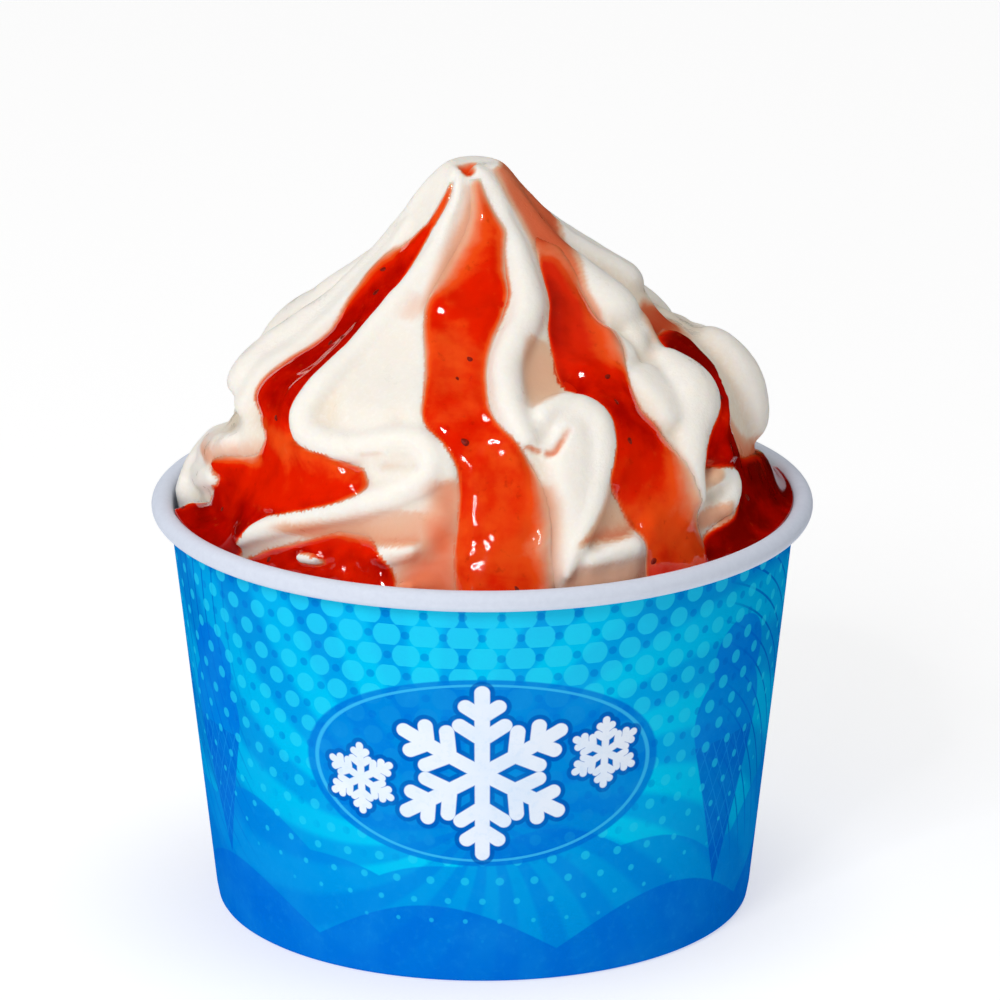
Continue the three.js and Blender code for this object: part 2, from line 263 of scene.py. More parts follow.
def filled(distance, soft=0.12):
    """1 inside an outline, where the distance from it is negative, and 0 outside it."""
    return distance.step(soft, -soft)


def to_segment(u, v, along, lean):
    """Distance to a stroke of that length from the origin, leaning that far from u."""
    ux, uy = math.cos(math.radians(lean)), math.sin(math.radians(lean))
    reach = (u * ux + v * uy).at_least(0).at_most(along)
    return length(u - reach * ux, v - reach * uy)


paper, place = new_material("printed_paper")
split = place.node("SeparateXYZ", {}, {0: place}).socket.node
x, y, rise = (Shade(place.tree, socket) / MM for socket in split.outputs)
PRINT_RADIUS = 42
across = x.math("ARCTAN2", x, 0 - y) * PRINT_RADIUS

# Ground of the print: two blues as swirling sun rays, paler at the upper middle and darker towards the
# sides, partly the print's own glow and partly painted light from the front
SUN = (0, 26)
RAYS = 18
sun_u, sun_v = across - SUN[0], rise - SUN[1]
sun_far = length(sun_u, sun_v)
turn = sun_v.math("ARCTAN2", sun_v, sun_u) + sun_far * 0.012
ray = (turn * RAYS).sin().step(-0.5, 0.5)
# Painted light in part: the blues fall off from a pale middle to darker sides as front light would
middle_glow_and_light = length((across - 6) / 78, (rise - 32) / 54).step(1.05, 0.1)
deep = middle_glow_and_light.mix(srgb(0, 112, 196), srgb(0, 166, 228))
pale = middle_glow_and_light.mix(srgb(0, 140, 212), srgb(0, 196, 236))
colour = ray.mix(deep, pale)

# Thin dark lines that follow the swirl near the sides
line = ((turn + sun_far * 0.022) * 9).off_whole().step(0.075, 0.045)
line = line * abs(across).step(34, 48) * rise.step(8, 18)
colour = (line * 0.75).mix(colour, srgb(0, 84, 186))

# Rolling scalloped hills round the foot, one row behind another
far_hill = 13 + 8 * abs((across * 0.058 + 0.9).sin()) + 3 * abs((across * 0.131 + 0.4).sin())
near_hill = 5 + 7 * abs((across * 0.083 + 2.2).sin())
colour = (filled(rise - far_hill, 0.15) * 0.65).mix(colour, srgb(0, 118, 212))
colour = (filled(rise - near_hill, 0.15) * 0.75).mix(colour, srgb(0, 100, 206))

# Cones with two scoops standing among the hills
CONES = ((-47, 12, 0.95), (41, 9, 1.1), (-98, 10, 1.05), (96, 12, 0.95))
SCOOPS = ((0, 24, 7.4), (1, 32, 5.6))
WAFER_TALL = 21
for cone_at, cone_foot, cone_size in CONES:
    u, v = (across - cone_at) / cone_size, (rise - cone_foot) / cone_size
    above = v.step(WAFER_TALL - 0.1, WAFER_TALL + 0.1)
    wafer = filled(abs(u) - v * 0.33) * (1 - above)
    lattice = ((u + v * 0.5) * 0.42).off_whole().at_most(((u - v * 0.5) * 0.42).off_whole())
    scoop = u * 0
    for scoop_u, scoop_v, scoop_size in SCOOPS:
        scoop = scoop.at_least(filled(length(u - scoop_u, v - scoop_v) - scoop_size))
    colour = (wafer * 0.8).mix(colour, srgb(0, 92, 200))
    colour = (wafer * lattice.step(0.07, 0.03) * 0.5).mix(colour, srgb(20, 140, 224))
    colour = (scoop * above * 0.75).mix(colour, srgb(0, 108, 212))

# Halftone dots, largest under the rim at the front, shrinking down and to the sides
DOT_PITCH, DOT_ROW, DOT_TOP, DOT_SIZE, PIP_SIZE = 5.1, 3.15, 57, 2.3, 0.6
row = ((rise - DOT_TOP) / DOT_ROW).round()
dot_v = rise - DOT_TOP - row * DOT_ROW
column = across / DOT_PITCH + row.math("FLOORED_MODULO", row, 2) * 0.5
dot_u = (column - column.round()) * DOT_PITCH
spread = length((across - dot_u) / 78, (DOT_TOP - rise + dot_v) / 56)
dot_size = (1 - spread).at_least(0.05) * DOT_SIZE
dot = filled(length(dot_u, dot_v) - dot_size, 0.1) * spread.step(0.92, 0.85)
colour = (dot * (0.85 - spread * 0.4)).mix(colour, srgb(34, 200, 234))
pip_u = (column + 0.5).off_whole() * DOT_PITCH
pip = filled(length(pip_u, dot_v) - PIP_SIZE, 0.1) * spread.step(0.8, 0.5)
colour = (pip * 0.45).mix(colour, srgb(0, 96, 196))

# Dark oval at the front with a plain white snow star between two small ones
OVAL = (0, 33, 26, 14.5)
STARS = ((0, 33, 12.5, 1.05), (-17.5, 31, 5, 0.55), (17.5, 35, 5, 0.55))
STAR_BRANCHES = ((0.42, 0.3), (0.7, 0.22))
STAR_EDGE = 0.7
oval = length((across - OVAL[0]) / OVAL[2], (rise - OVAL[1]) / OVAL[3])
colour = (oval.step(1.01, 0.99) * 0.8).mix(colour, srgb(0, 108, 206))
colour = (abs(oval - 0.94).step(0.018, 0.006) * 0.7).mix(colour, srgb(60, 190, 236))
for star_u, star_v, star_size, stroke in STARS:
    u, v = across - star_u, rise - star_v
    far = length(u, v)
    folded = (v.math("ARCTAN2", u, v) / math.radians(60)).off_whole() * math.radians(60)
    u, v = far * folded.cos(), far * folded.sin()
    star = to_segment(u, v, star_size, 0)
    for branch_at, branch in STAR_BRANCHES:
        star = star.at_most(to_segment(u - star_size * branch_at, v, star_size * branch, 55))
    colour = (filled(star - stroke - STAR_EDGE) * 0.75).mix(colour, srgb(0, 78, 172))
    colour = filled(star - stroke, 0.1).mix(colour, srgb(226, 234, 246))

# White board shows at the glued edge, inside, on the rolled rim and in the hem, which is knurled
fibre = place.cloud(900, 4, 0.65)
blotch = place.cloud(120, 3)
board = fibre.step(0.2, 0.8).mix(srgb(203, 209, 223), srgb(209, 215, 228))
inked = place.attribute("inked")
glued_edge = abs(across - math.radians(180 - SEAM_LAP) * PRINT_RADIUS - 0.3).step(0.5, 0.3)
speck = (blotch.step(0.4, 0.7) * 0.1 + fibre.step(0.5, 0.7) * 0.08).mix(colour, srgb(40, 170, 232))
colour = (inked * (1 - glued_edge * 0.8)).mix(board, speck)
knurl = (across * 2.4).sin() * rise.step(3, 2.6) * rise.step(0.6, 1) * (1 - inked)
relief = fibre * 0.004 + blotch * 0.02 + knurl * 0.03
surface(place, Base_Color=colour, Roughness=0.34 + fibre * 0.16, Normal=relief.bump(0.6),
        Specular_IOR_Level=0)
cup_wall.data.materials.append(paper)
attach(cup_wall, "root")
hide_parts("cup_wall")

# Cup base
# A disc of plain white board pressed into the foot of the wall, its edge turned down and
# gripped in the hem. The shape is the solid's own; only its finish is given here.
board_stuff, place = new_material("plain_board")
fibre = place.cloud(700, 5, 0.7)
tone = place.cloud(90, 2)
colour = (fibre * 0.6 + tone * 0.4).step(0.3, 0.7).mix(srgb(222, 226, 232), srgb(238, 241, 246))
surface(place, Base_Color=colour, Roughness=0.5 + fibre * 0.2, Normal=(fibre * 0.02).bump(0.5))
cup_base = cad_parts["cup_base"]
cup_base.data.materials.clear()
cup_base.data.materials.append(board_stuff)

# Ice cream
# Soft vanilla ice cream drawn up in folded ropes and ribbons from the cup's base to a tip,
# frozen just firm: the crests frosty and white, the hollows smoother and painted a darker, warmer cream as
# shade.

# The form that the crests of the folds touch: radius, height and shift to the right
PILE = [
    (0, 111.4, -1.2), (4.2, 110.8, -1.2), (8.9, 105.2, -1.4), (12.9, 100.6, -0.7), (20.4, 94.8, 1),
    (28.5, 88.4, 1.4), (35.4, 83.6, 0.9), (38.8, 78, 0.8), (40.6, 72, 0.8), (42.6, 64, 0.1),
    (44.2, 58, 0),
]
VALLEY = 3
VALLEY_FULL_RADIUS = 24
VALLEY_LEAST = 0.25
SKIRT = 2.3
SKIRT_TOP = 0.7
ROPE_THICK = 4
ROPE_STEP = 0.7
# Ropes of ice cream: bearing, height and half thickness, from the top down
ROPES = [
    [(-100, 110.9, 1.2), (-96, 107.5, 1.9), (-92, 103, 2.6), (-88, 98, 3.3), (-84, 92, 4),
     (-82, 86, 4.5), (-80, 81, 4.6), (-79, 76.4, 4)],
    [(-114, 65.4, 3), (-96, 66.6, 3.2), (-82, 69, 3.4), (-72, 72.8, 3.1), (-68, 74.6, 2.6)],
    [(-104, 61.8, 2.4), (-92, 64.2, 2.5), (-82, 65.8, 2.3), (-75, 67, 1.7), (-71, 67.4, 1.1)],
    [(-50, 111.1, 0.9), (-30, 110, 1), (-17, 108, 1.1), (-23, 105, 1.4), (-33, 100, 1.8),
     (-43.6, 95, 2.2), (-46.5, 90, 2.4), (-47.5, 85, 2.5), (-47.6, 81.8, 2.5), (-45, 79.4, 2.4),
     (-40, 78.4, 2.3), (-33, 78.4, 2.2), (-26, 79.3, 2.2), (-20, 80.4, 2.3), (-15.5, 80.3, 2.4),
     (-12.6, 78.5, 2.4), (-12.8, 76.1, 2.3), (-15.8, 74.1, 2.1), (-20, 72.6, 2), (-30, 69.9, 1.9),
     (-40, 67.3, 1.9), (-48, 64.9, 1.7), (-53, 62.8, 1.2), (-56, 61.2, 0.9)],
    [(10, 111.2, 0.9), (22, 110, 1), (32, 108, 1.2), (33, 105, 1.6), (29.5, 100.6, 2.2),
     (18, 95.4, 2.6), (8.5, 92, 2.6), (4.6, 89.4, 2.5), (4.8, 86.4, 2.4), (6.6, 83.4, 2.2),
     (8.6, 81, 1.8), (10, 79.6, 1.2)],
    [(11.4, 82.6, 1.5), (13.8, 84.4, 2), (18, 85, 2.4), (22.6, 84.6, 2.6), (26, 82.4, 2.7),
     (26, 79.4, 2.7), (24.4, 75.8, 2.5), (21.8, 71, 2.2), (19.2, 66.8, 1.7), (17, 63.4, 1.2),
     (15.6, 61.2, 0.8)],
    [(72, 110.9, 1.2), (70, 106, 2), (66, 101, 3.2), (62, 97, 4.4), (60, 93, 4.8), (59, 90.8, 4)],
    [(56, 89, 2.6), (58.5, 87, 4.2), (57.5, 83, 5.3), (53, 79, 4.4), (49.6, 75, 2.8), (48.2, 71, 1.9),
     (48.6, 67.6, 1.2)],
    [(53, 70.6, 1.1), (57, 71.2, 1.6), (60.6, 69.6, 1.8), (60, 67.2, 1.8), (55, 65.8, 1.4)],
    [(19.5, 63.2, 1.1), (25, 64, 1.5), (30.4, 64.6, 1.7), (33.2, 64.2, 1.3)],
    [(-22, 63.8, 1), (-17, 65, 1.7), (-12.6, 66, 1)],
    [(-38.6, 62.2, 0.7), (-33, 62.6, 1)],
    [(-17, 60.2, 0.8), (-12, 60.6, 1.4)],
    [(108, 110.9, 1.2), (104, 106, 2.2), (101, 100, 3.2), (100, 95.5, 4), (99, 92, 3.6)],
    [(104, 84.4, 2.4), (99.5, 84.4, 3.4), (95, 83.2, 4.6), (91, 79.2, 5.2), (89, 75, 4.8),
     (88, 69.6, 3.8)],
    [(122, 110.9, 1.2), (119, 104, 2.2), (118, 97, 3.2), (116, 92.5, 3.6), (115, 90.4, 3)],
    [(122, 83, 2.6), (119, 81.2, 3.8), (116, 77.5, 4.8), (118, 71, 4), (114, 64, 2.8)],
]
BACK_ROPES = (140, 165, 190, 215, 240)
BACK_RUN = [
    (0, 110.9, 1.2), (2, 105, 2.2), (-3, 97, 3.5), (3, 89, 4.4), (-3, 80, 4.6), (3, 71, 3.8),
    (0, 63, 2.4),
]
# Faces between the ropes that stand nearly as high: bearing, height, half width and depth
FACES = [
    [(-80, 102, 3, 0.8), (-77, 94, 4.2, 0.7), (-75, 87, 5, 0.7), (-73.5, 80, 4.6, 0.8)],
    [(-30, 104, 2.4, 1), (-33, 98, 4.6, 1.2), (-34, 92, 6.4, 1.3), (-32, 87, 8, 1.4),
     (-30, 83, 7, 1.4)],
    [(19, 82, 3.6, 0.5), (18.6, 78, 5.2, 0.5), (18.7, 74, 4.4, 0.5), (18.6, 70, 2.8, 0.5),
     (17, 66, 2, 0.6), (16, 62.5, 1.4, 0.8)],
    [(-27, 95, 3, 1.2), (-22.5, 90, 3.6, 1.2), (-19.5, 86, 4, 1.2), (-17, 83.6, 3, 1.2)],
    [(-25, 75.4, 2.2, 1.6), (-21, 76, 2.8, 1.5), (-17, 76.4, 2.4, 1.5)],
    [(-9, 79.4, 2, 0.8), (-8.6, 76.4, 2.4, 1)],
    [(-12, 70, 4, 1.7), (-18, 66, 5, 1.8), (-22, 61, 5, 2)],
    [(22, 62, 4, 1.2), (29, 62, 4, 1.2)],
    [(64, 92, 4, 1.2), (58, 89.6, 4, 1.2)],
    [(44.6, 91, 3, 1.2), (46, 86, 4.4, 0.9), (46.4, 82, 3.6, 0.8)],
    [(-108, 64.4, 5, -0.6), (-99, 62.6, 5, -1.2), (-92, 60.8, 4, -1.4)],
]
FACE_FLAT = 0.55
# Creases pinched between folds: bearing, height, half width, depth and how far sauce stains them
CREASES = [
    [(8.4, 78.4, 0.5, 0.6, 0.26), (12, 78.8, 0.55, 0.9, 0.26), (15, 79.8, 0.55, 0.8, 0.24),
     (18, 81.6, 0.5, 0.3, 0.1)],
    [(-27, 76.4, 0.6, 0.4, 0.05), (-22, 76.8, 0.7, 0.6, 0.05), (-16.5, 77.2, 0.7, 0.3, 0)],
    [(43, 87.6, 1, 0.3, 0), (52, 88.2, 1.2, 0.7, 0.04), (61, 89.2, 1.2, 0.8, 0.04)],
    [(-104, 74.4, 2.2, 1.4, 0), (-84, 75, 2, 1.2, 0), (-72, 76, 1.6, 0.8, 0)],
    [(118, 89, 1.8, 1.4, 0), (108, 89.2, 1.8, 1.4, 0), (96, 89.4, 1.6, 1, 0)],
    [(-80, 111.36, 0.6, 0.6, 0.5), (-36, 111.3, 0.8, 1.5, 0.9), (-12, 110.9, 0.7, 1, 0.8)],
    [(-33, 110.5, 0.5, 0.2, 0), (-36, 107.6, 0.5, 0.5, 0), (-41, 104, 0.6, 0.3, 0)],
    [(-8, 110.2, 0.6, 0.2, 0), (-9, 107.4, 0.7, 0.4, 0), (-14, 104, 0.8, 0.2, 0)],
]
PILE_SHARE = 0.8
FILL_TOP = 57
FILL_DEEP = 50
FILL_GAP = 0.4
FILL_TUCK = 63
CREAM_GAP, CREAM_TUCK = 0.2, 61.8
BASE_TOP = 6.4
GRAIN = 0.485
RIPPLE_LONG, RIPPLE_TALL = 5, 0.35
CUT = 53


def flowing(stops, spacing):
    """Evenly spaced rows on a smooth line through the stops, whose first three columns are places."""
    stops = np.array(stops, float)
    chain = np.vstack([2 * stops[0] - stops[1], stops, 2 * stops[-1] - stops[-2]])
    at = np.linspace(0, 1, 25)[:, None]
    line = []
    for p0, p1, p2, p3 in zip(chain, chain[1:], chain[2:], chain[3:]):
        gaps = ((p1 - p0)[:3], (p2 - p1)[:3], (p3 - p2)[:3])
        d0, d1, d2 = (max(np.linalg.norm(gap), 1e-4) ** 0.5 for gap in gaps)
        t1 = ((p1 - p0) / d0 - (p2 - p0) / (d0 + d1) + (p2 - p1) / d1) * d1
        t2 = ((p2 - p1) / d1 - (p3 - p1) / (d1 + d2) + (p3 - p2) / d2) * d1
        bend = 3 * p2 - 3 * p1 - 2 * t1 - t2
        twist = 2 * p1 - 2 * p2 + t1 + t2
        line.append(p1 + t1 * at + bend * at ** 2 + twist * at ** 3)
    line = np.vstack(line)
    gone = np.concatenate([[0], np.cumsum(np.linalg.norm(np.diff(line[:, :3], axis=0), axis=1))])
    even = np.linspace(0, gone[-1], max(3, round(gone[-1] / spacing) + 1))
    return np.stack([np.interp(even, gone, column) for column in line.T], axis=1)


crest = flowing([(r, shift, h) for r, h, shift in PILE], 0.1)
crest_at = np.linspace(0, 1, len(crest))
crest_way = np.gradient(crest, axis=0)
crest_long = np.linalg.norm(np.diff(crest, axis=0), axis=1).sum()


def on_pile(bearing, along):
    """Places on the crest form, and the directions out of it."""
    radius, shift, height = (np.interp(along, crest_at, column) for column in crest.T)
    run_out, drop = (np.interp(along, crest_at, column) for column in crest_way[:, (0, 2)].T)
    east, south = np.sin(np.radians(bearing)), -np.cos(np.radians(bearing))
    out = np.stack([-drop * east, -drop * south, run_out], axis=-1)
    out /= np.linalg.norm(out, axis=-1, keepdims=True)
    return np.stack([radius * east + shift, radius * south, height], axis=-1), out


def along_at(height):
    """How far from the tip, as a share of the crest form's length, it has that height."""
    return np.interp(-np.asarray(height, float), -crest[:, 2], crest_at)


def track(run, sunk=0, spacing=0.5):
    """A run laid on the pile: places, with what follows bearing and height beside them."""
    run = np.array(run, float)
    places, out = on_pile(run[:, 0], along_at(run[:, 1]))
    if sunk:
        places = places - out * (sunk * np.minimum(run[:, 2], ROPE_THICK))[:, None]
    return flowing(np.column_stack([places, run[:, 2:]]), spacing)


def nearest(places, line):
    """Distance from each place to a track, and the rest of the track's row there."""
    far = np.full(len(places), 1e9)
    at = np.zeros(len(places), int)
    for index, stop in enumerate(line):
        gap = np.linalg.norm(places - stop[:3], axis=1)
        closer = gap < far
        far[closer], at[closer] = gap[closer], index
    return far, line[at, 3:].T


def ease(share):
    share = np.clip(share, 0, 1)
    return share * share * (3 - 2 * share)


rope_runs = ROPES + [[(turn + sway, h, w) for sway, h, w in BACK_RUN] for turn in BACK_ROPES]
rope_tracks = [track(run, spacing=1) for run in rope_runs]
face_tracks = [track(run, spacing=1) for run in FACES]


def valley_depth(places, radius):
    """Depth of the ice cream below the crests: shallow beside a rope or on a face."""
    depth = np.full(len(places), float(VALLEY))
    for line in rope_tracks:
        far, (width,) = nearest(places, line)
        top = width * SKIRT_TOP
        depth = np.minimum(depth, top + (VALLEY - top) * ease(far / (width * SKIRT)))
    for line in face_tracks:
        far, (width, top) = nearest(places, line)
        depth = np.minimum(depth, top + (VALLEY - top) * ease((far / width - FACE_FLAT) / (1 - FACE_FLAT)))
    return depth * np.clip(radius / VALLEY_FULL_RADIUS, VALLEY_LEAST, 1)


def tuck_in(places, gap, top):
    """Draws what lies below that height in to that gap from the cup's wall."""
    over = np.linalg.norm(places[:, :2], axis=1) / (wall_inside(places[:, 2]) - gap)
    tucked = (over > 1) & (places[:, 2] < top)
    places[tucked, :2] /= over[tucked, None]


# A ball spread over the pile's hollows and on down into the cup
bpy.ops.object.select_all(action="DESELECT")
bpy.ops.mesh.primitive_uv_sphere_add(segments=240, ring_count=160, radius=MM)
ice_cream = bpy.context.object
ice_cream.name = "folded_ice_cream"
ball = places_of(ice_cream.data)
ball_bearing = bearing_of(ball)
ball_down = np.arccos(np.clip(ball[:, 2], -1, 1)) / math.pi / PILE_SHARE
floor_places, floor_out = on_pile(ball_bearing, np.clip(ball_down, 0, 1))
floor_out[ball_down < 1e-3] = (0, 0, 1)
floor_radius = np.linalg.norm(floor_places[:, :2], axis=1)
floor_places -= floor_out * valley_depth(floor_places, floor_radius)[:, None]
tuck_in(floor_places, FILL_GAP, FILL_TUCK)
lower = ball_down > 1
below = np.clip((ball_down[lower] - 1) * PILE_SHARE / (1 - PILE_SHARE), 0, 1)
floor_places[lower, 2] = FILL_TOP - FILL_DEEP * np.minimum(below * 2, 1)
fill_radius = (wall_inside(floor_places[lower, 2]) - FILL_GAP) * np.clip(2 - 2 * below, 0, 1)
floor_places[lower, 0] = fill_radius * np.sin(np.radians(ball_bearing[lower]))
floor_places[lower, 1] = -fill_radius * np.cos(np.radians(ball_bearing[lower]))
put_places(ice_cream.data, floor_places)
apply_modifier(ice_cream, "SMOOTH", factor=0.5, iterations=4)

# The ropes, laid with their crests on the form and their ends rounded
rope_curve = bpy.data.curves.new("ropes", "CURVE")
rope_curve.dimensions = "3D"
rope_curve.bevel_depth = MM
rope_curve.bevel_resolution = 6
rope_curve.use_fill_caps = True
for run in rope_runs:
    line = track(run, sunk=1, spacing=ROPE_STEP)
    count = len(line)
    from_end = np.minimum(np.arange(count), np.arange(count)[::-1]) * ROPE_STEP / line[:, 3]
    line[:, 3] *= np.sqrt(np.clip(1 - (1 - np.clip(from_end, 0.02, 1)) ** 2, 0, 1))
    spline = rope_curve.splines.new("POLY")
    spline.points.add(count - 1)
    spline.points.foreach_set("co", np.column_stack([line[:, :3] * MM, np.ones(count)]).ravel())
    spline.points.foreach_set("radius", line[:, 3])
ropes = bpy.data.objects.new("ropes", rope_curve)
bpy.context.collection.objects.link(ropes)
bpy.ops.object.select_all(action="DESELECT")
ropes.select_set(True)
bpy.context.view_layer.objects.active = ropes
bpy.ops.object.convert(target="MESH")
ice_cream.select_set(True)
bpy.context.view_layer.objects.active = ice_cream
bpy.ops.object.join()
apply_modifier(ice_cream, "REMESH", mode="VOXEL", voxel_size=GRAIN * MM)
apply_modifier(ice_cream, "SMOOTH", factor=0.5, iterations=8)
ripples = bpy.data.textures.new("ripples", "CLOUDS")
ripples.noise_scale = RIPPLE_LONG * MM
apply_modifier(ice_cream, "DISPLACE", texture=ripples, strength=RIPPLE_TALL * MM)

# What is hidden in the cup is one plain cone down to the base
bpy.ops.object.mode_set(mode="EDIT")
bpy.ops.mesh.select_all(action="SELECT")
bpy.ops.mesh.bisect(plane_co=(0, 0, CUT * MM), plane_no=(0, 0, 1), clear_inner=True)
bpy.ops.mesh.extrude_edges_move(TRANSFORM_OT_translate={"value": (0, 0, (BASE_TOP - CUT) * MM)})
squeeze = (wall_inside(BASE_TOP) - FILL_GAP) / (wall_inside(CUT) - FILL_GAP)
bpy.ops.transform.resize(value=(squeeze, squeeze, 1), center_override=(0, 0, 0))
bpy.ops.mesh.edge_face_add()
bpy.ops.mesh.select_all(action="SELECT")
bpy.ops.mesh.normals_make_consistent(inside=False)
bpy.ops.object.mode_set(mode="OBJECT")


def tree_of(mesh):
    return BVHTree.FromPolygons([v.co for v in mesh.vertices], [p.vertices for p in mesh.polygons])


cream_places = places_of(ice_cream.data)
cream_out = np.empty(len(cream_places) * 3)
ice_cream.data.vertex_normals.foreach_get("vector", cream_out)
cream_out = cream_out.reshape(-1, 3)
uncreased = tree_of(ice_cream.data)
pinch = np.zeros(len(cream_places))
for run in CREASES:
    line = track(run, spacing=0.4)
    line[:, :3] = [uncreased.find_nearest(Vector(stop) * MM)[0] / MM for stop in line[:, :3]]
    far, (width, cut, tint) = nearest(cream_places, line)
    share = np.exp(-(far / width) ** 2)
    pinch = np.maximum(pinch, tint * share)
    cream_places -= cream_out * (cut * share)[:, None]
tuck_in(cream_places, CREAM_GAP, CREAM_TUCK)
put_places(ice_cream.data, cream_places)
bpy.ops.object.shade_smooth()

# Sauce runs, which also stain the ice cream under them: height, bearings of the left and right
# edge, how far each of these fades, how rich the colour is and how thick the sauce stands
SAUCE_RUNS = [
    [(109.4, -40, -30, 1, 0.6, 0.5, 0.3), (105, -47, -32.6, 1.5, 0.6, 0.75, 0.5),
     (103, -56, -37, 1.8, 0.6, 0.9, 0.4), (101, -65, -41.6, 2.6, 0.7, 1.15, 0.3),
     (99, -71, -44.4, 4, 0.8, 1.4, 0.3), (97, -72.4, -46.4, 4.4, 0.7, 1.6, 0.3),
     (95, -71.4, -50, 3.6, 0.5, 1.6, 0.4), (93, -70, -51.4, 2.4, 0.4, 1.65, 0.5),
     (90, -67.6, -49.6, 1.4, 0.4, 1.65, 0.6), (85, -68.4, -50, 1.2, 0.4, 1.65, 0.7),
     (80.6, -68.4, -49.4, 1.2, 0.4, 1.4, 0.8), (78.2, -64, -48, 1.2, 0.4, 0.85, 0.6),
     (77, -61.6, -42, 1.4, 0.5, 0.75, 0.5), (76.2, -60.4, -31, 1.6, 0.6, 0.75, 0.5),
     (75.4, -60, -27.2, 1.8, 0.9, 0.8, 0.5), (73.6, -61, -26, 2.4, 1.2, 1.1, 0.5),
     (71, -71, -30, 3, 0.8, 1.2, 0.5), (69, -76, -37.5, 2, 0.5, 1.3, 0.5),
     (67.4, -71, -44, 0.8, 0.4, 1.5, 0.5), (65.8, -73, -50.6, 0.8, 0.4, 1.7, 0.5),
     (62, -79, -54, 0.6, 0.5, 1.65, 0.5), (58, -82, -58, 0.6, 0.6, 1.65, 0.5)],
    [(110.1, -8, 12, 4, 0.8, 0.75, 0.2), (106, -3, 23, 4, 1.4, 0.84, 0.4),
     (103.6, -8, 27, 5, 2, 0.9, 0.4), (101.4, -16, 21, 6.5, 2, 1, 0.5),
     (99, -22, 15, 6.5, 1.8, 1.1, 0.5), (97, -26, 11.6, 5, 1.4, 1.12, 0.5),
     (95, -28, 6, 2.4, 1.2, 1.1, 0.5), (92, -25, 0.2, 1.8, 1.2, 0.86, 0.5),
     (89, -20.8, -1.5, 1.4, 1.2, 0.8, 0.5), (86, -17.4, -0.2, 0.8, 1.2, 0.86, 0.5),
     (83, -15.2, 3, 0.6, 1, 0.92, 0.5), (80, -9.6, 7.2, 0.5, 0.9, 0.88, 0.5),
     (77, -6.8, 10.2, 0.6, 2, 0.84, 0.5), (74, -6.4, 12, 0.7, 4, 0.8, 0.5),
     (70, -6.2, 13.6, 0.7, 5, 0.78, 0.6), (65, -6, 14, 0.7, 5, 0.76, 0.6),
     (58, -5, 14.6, 1.2, 5, 0.76, 0.6)],
    [(66.8, -31, -24, 1, 0.8, 0.6, 0.3), (65.4, -36, -21.4, 1.4, 0.6, 1, 0.4),
     (63.6, -42, -19, 1.2, 0.6, 1.3, 0.5), (62, -48, -17.4, 1, 0.8, 1.3, 0.5),
     (58, -58, -15, 0.6, 1, 1.1, 0.5)],
    [(102, 52, 54, 1, 1, 0.3, 0), (101, 46, 58, 1, 3, 0.45, 0.1), (100, 41.5, 60, 0.8, 5, 0.8, 0.3),
     (99, 37.5, 57, 0.8, 6, 1.5, 0.4), (96, 29.4, 49.5, 0.6, 7, 2, 0.5),
     (93, 22.4, 47, 0.6, 11, 1.75, 0.5), (90.4, 20.8, 46, 0.6, 11, 1.4, 0.5),
     (87.6, 20.6, 41.4, 0.5, 2, 1.6, 0.5), (86, 25, 40, 0.4, 1.6, 1.8, 0.5),
     (83, 29.2, 40.2, 0.5, 2, 1.6, 0.5), (80, 29, 42.8, 0.5, 2.2, 1.4, 0.5),
     (77, 27.3, 45.2, 0.5, 4.6, 1.1, 0.5), (74, 25.6, 46.4, 0.6, 6, 0.9, 0.5),
     (71, 28.4, 47.2, 0.6, 6, 0.76, 0.5), (67, 31.4, 49, 0.8, 5, 0.7, 0.5),
     (65, 33.8, 50.4, 0.6, 4, 0.76, 0.5), (58, 34, 53, 0.6, 3, 0.8, 0.5)],
    [(89.8, 66, 79, 0.8, 3, 1.6, 1), (88, 66.6, 80, 0.5, 2.4, 2.3, 1.3),
     (85.6, 68, 77.6, 0.5, 1.2, 2.3, 1.6), (82.4, 65.4, 72.4, 0.5, 0.8, 1.8, 1.8),
     (79.6, 60, 69.6, 0.6, 1, 1.5, 1.5), (77, 54.8, 68.4, 0.6, 1.2, 1.6, 1.1),
     (75, 52, 68.8, 0.6, 1.2, 1.75, 0.9), (73.4, 51.6, 70, 0.8, 1.2, 1.9, 0.8),
     (71, 61, 72.4, 0.8, 1.4, 2.3, 0.8), (68.6, 64, 86, 0.8, 2, 2.4, 0.8),
     (65, 58, 102, 0.8, 2, 2.3, 0.8), (62.6, 51, 106, 0.8, 2, 2.1, 0.6), (58, 47, 108, 1, 1, 2, 0.5)],
    [(104, 150, 158, 1.5, 1.5, 1, 0.5), (96, 146, 155, 1.2, 1, 1.3, 0.5),
     (88, 152, 160, 0.8, 1, 1.4, 0.5), (79, 145, 154, 0.8, 0.8, 1.3, 0.5),
     (70, 149, 161, 1, 1, 1.1, 0.5), (58, 145, 164, 1, 1, 1.3, 0.5)],
    [(104, -140, -128, 1.5, 1.5, 1, 0.5), (96, -138, -129, 1, 1, 1.3, 0.5),
     (88, -133, -124, 1, 0.8, 1.4, 0.5), (79, -140, -130, 0.8, 1, 1.3, 0.5),
     (70, -136, -124, 1, 1, 1.1, 0.5), (58, -142, -122, 1, 1, 1.3, 0.5)],
]
# Bare islands in the sauce: bearing, height, half width and half height
ISLANDS = [(-35.6, 62.3, 2.3, 0.75)]
